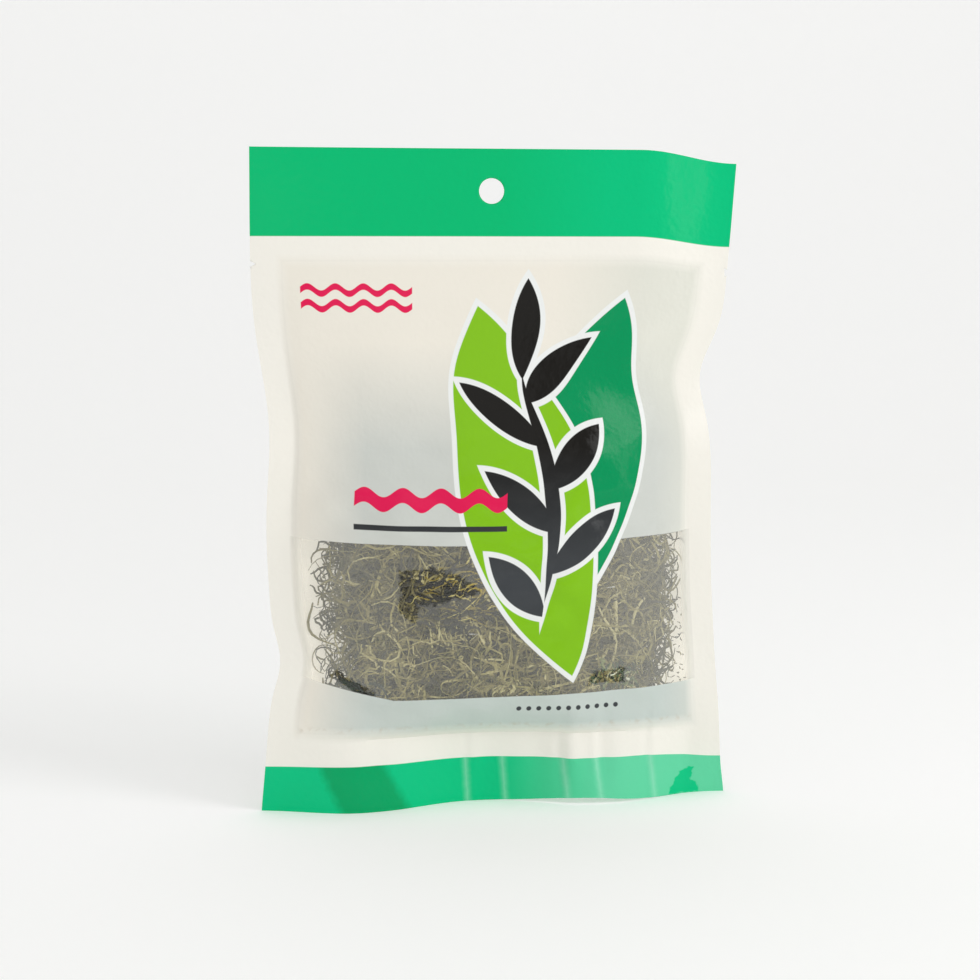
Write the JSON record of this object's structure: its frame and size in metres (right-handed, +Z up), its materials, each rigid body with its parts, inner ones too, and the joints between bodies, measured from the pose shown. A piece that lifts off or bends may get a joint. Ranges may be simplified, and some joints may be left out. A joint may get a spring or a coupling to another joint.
{
  "type": "film pouch of dried wakame shreds",
  "caption": "Flat heat-sealed film pouch with a hang hole, tear notches and a clear window, holding a tangle of dried wakame shreds; it stands on its waved foot.",
  "frame": {"origin": "on the floor, under the middle of the pouch's bounding box", "axes": "+Z up the pouch to its header, front towards -Y, +X to the right seen from the front"},
  "size_m": [0.1571, 0.0335, 0.21],
  "materials": {
    "front_film": "clear glossy film, printed with green bands and a hazy white field round a clear window",
    "back_film": "clear glossy film, printed with green bands and a hazy white field",
    "dried_seaweed": "dry olive-brown shreds, dull to half-gloss"
  },
  "bodies": {
    "root": {"pouch_front": "front_film", "pouch_back": "back_film", "seaweed_tangle": "dried_seaweed"}
  },
  "joints": []
}
